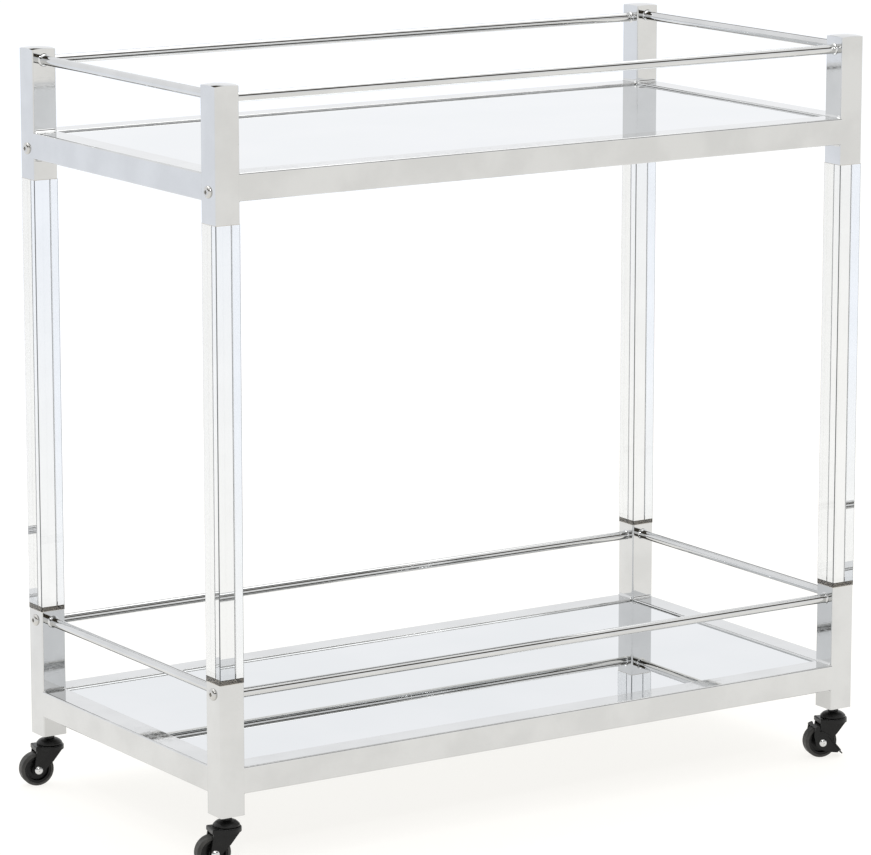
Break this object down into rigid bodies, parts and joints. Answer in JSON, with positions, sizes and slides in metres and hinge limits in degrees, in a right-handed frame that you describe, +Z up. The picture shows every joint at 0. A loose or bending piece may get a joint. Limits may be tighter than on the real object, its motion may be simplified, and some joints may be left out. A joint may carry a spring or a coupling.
{
  "type": "bar cart",
  "caption": "Two-tier serving cart with chrome tube trays, mirror shelves, guard rods, clear acrylic legs and swivel casters.",
  "frame": {"origin": "on the floor, under the middle of the tray frames", "axes": "+X along the cart to the right, +Y to its back, +Z up"},
  "size_m": [0.8223, 0.4064, 0.794],
  "materials": {
    "polished_chrome": "polished chrome plate",
    "mirror_glass": "silvered float glass, painted back",
    "clear_acrylic": "clear cast acrylic, polished",
    "screw_steel": "bright plated",
    "ledge_steel": "plated, satin",
    "clear_pad": "clear silicone",
    "insert_brass": "turned",
    "black_caster_steel": "black electrophoretic paint, satin",
    "axle_steel": "bright zinc",
    "black_wheel_plastic": "moulded, semi-gloss",
    "caster_tyre": "thermoplastic rubber"
  },
  "bodies": {
    "frame": {"lower_post_fl": "polished_chrome", "lower_post_fr": "polished_chrome", "lower_post_bl": "polished_chrome", "lower_post_br": "polished_chrome", "lower_rail_front": "polished_chrome", "lower_rail_back": "polished_chrome", "lower_rail_left": "polished_chrome", "lower_rail_right": "polished_chrome", "lower_guard_front": "polished_chrome", "lower_guard_back": "polished_chrome", "lower_guard_left": "polished_chrome", "lower_guard_right": "polished_chrome", "lower_mirror_shelf": "mirror_glass", "lower_leg_screws": "screw_steel", "upper_post_fl": "polished_chrome", "upper_post_fr": "polished_chrome", "upper_post_bl": "polished_chrome", "upper_post_br": "polished_chrome", "upper_rail_front": "polished_chrome", "upper_rail_back": "polished_chrome", "upper_rail_left": "polished_chrome", "upper_rail_right": "polished_chrome", "upper_guard_front": "polished_chrome", "upper_guard_back": "polished_chrome", "upper_guard_left": "polished_chrome", "upper_guard_right": "polished_chrome", "upper_mirror_shelf": "mirror_glass", "upper_leg_screws": "screw_steel", "upper_post_caps": "polished_chrome", "guard_weld_beads": "polished_chrome", "shelf_ledges": "ledge_steel", "shelf_pads": "clear_pad", "leg_thread_inserts": "insert_brass", "caster_nut_plates": "ledge_steel", "caster_stems": "black_caster_steel", "caster_races": "black_caster_steel", "swivel_bearing_balls": "screw_steel", "acrylic_leg_fl": "clear_acrylic", "acrylic_leg_fr": "clear_acrylic", "acrylic_leg_bl": "clear_acrylic", "acrylic_leg_br": "clear_acrylic"},
    "caster_fl": {"caster_fork_fl": "black_caster_steel", "caster_axle_fl": "axle_steel"},
    "wheel_fl": {"wheel_core_fl": "black_wheel_plastic", "tyre_fl": "caster_tyre"},
    "caster_fr": {"caster_fork_fr": "black_caster_steel", "caster_axle_fr": "axle_steel"},
    "wheel_fr": {"wheel_core_fr": "black_wheel_plastic", "tyre_fr": "caster_tyre"},
    "brake_fr": {"brake_lever_fr": "black_caster_steel"},
    "caster_bl": {"caster_fork_bl": "black_caster_steel", "caster_axle_bl": "axle_steel"},
    "wheel_bl": {"wheel_core_bl": "black_wheel_plastic", "tyre_bl": "caster_tyre"},
    "caster_br": {"caster_fork_br": "black_caster_steel", "caster_axle_br": "axle_steel"},
    "wheel_br": {"wheel_core_br": "black_wheel_plastic", "tyre_br": "caster_tyre"},
    "brake_br": {"brake_lever_br": "black_caster_steel"}
  },
  "joints": [
    {"name": "caster_swivel_fl", "type": "hinge", "parent": "frame", "child": "caster_fl", "pos_m": [-0.386, -0.186, 0.041], "axis": [0, 0, 1], "continuous": true},
    {"name": "wheel_spin_fl", "type": "hinge", "parent": "caster_fl", "child": "wheel_fl", "pos_m": [-0.40067, -0.18288, 0.018], "axis": [-0.2079, -0.9781, 0], "continuous": true},
    {"name": "caster_swivel_fr", "type": "hinge", "parent": "frame", "child": "caster_fr", "pos_m": [0.386, -0.186, 0.041], "axis": [0, 0, 1], "continuous": true},
    {"name": "wheel_spin_fr", "type": "hinge", "parent": "caster_fr", "child": "wheel_fr", "pos_m": [0.37173, -0.18136, 0.018], "axis": [-0.309, -0.9511, 0], "continuous": true},
    {"name": "brake_lever_fr_swing", "type": "hinge", "parent": "caster_fr", "child": "brake_fr", "pos_m": [0.37173, -0.18136, 0.018], "axis": [-0.309, -0.9511, 0], "range_deg": [0, 30]},
    {"name": "caster_swivel_bl", "type": "hinge", "parent": "frame", "child": "caster_bl", "pos_m": [-0.386, 0.186, 0.041], "axis": [0, 0, 1], "continuous": true},
    {"name": "wheel_spin_bl", "type": "hinge", "parent": "caster_bl", "child": "wheel_bl", "pos_m": [-0.40067, 0.18912, 0.018], "axis": [-0.2079, -0.9781, 0], "continuous": true},
    {"name": "caster_swivel_br", "type": "hinge", "parent": "frame", "child": "caster_br", "pos_m": [0.386, 0.186, 0.041], "axis": [0, 0, 1], "continuous": true},
    {"name": "wheel_spin_br", "type": "hinge", "parent": "caster_br", "child": "wheel_br", "pos_m": [0.37151, 0.18988, 0.018], "axis": [-0.2588, -0.9659, 0], "continuous": true},
    {"name": "brake_lever_br_swing", "type": "hinge", "parent": "caster_br", "child": "brake_br", "pos_m": [0.37151, 0.18988, 0.018], "axis": [-0.2588, -0.9659, 0], "range_deg": [0, 30]}
  ]
}
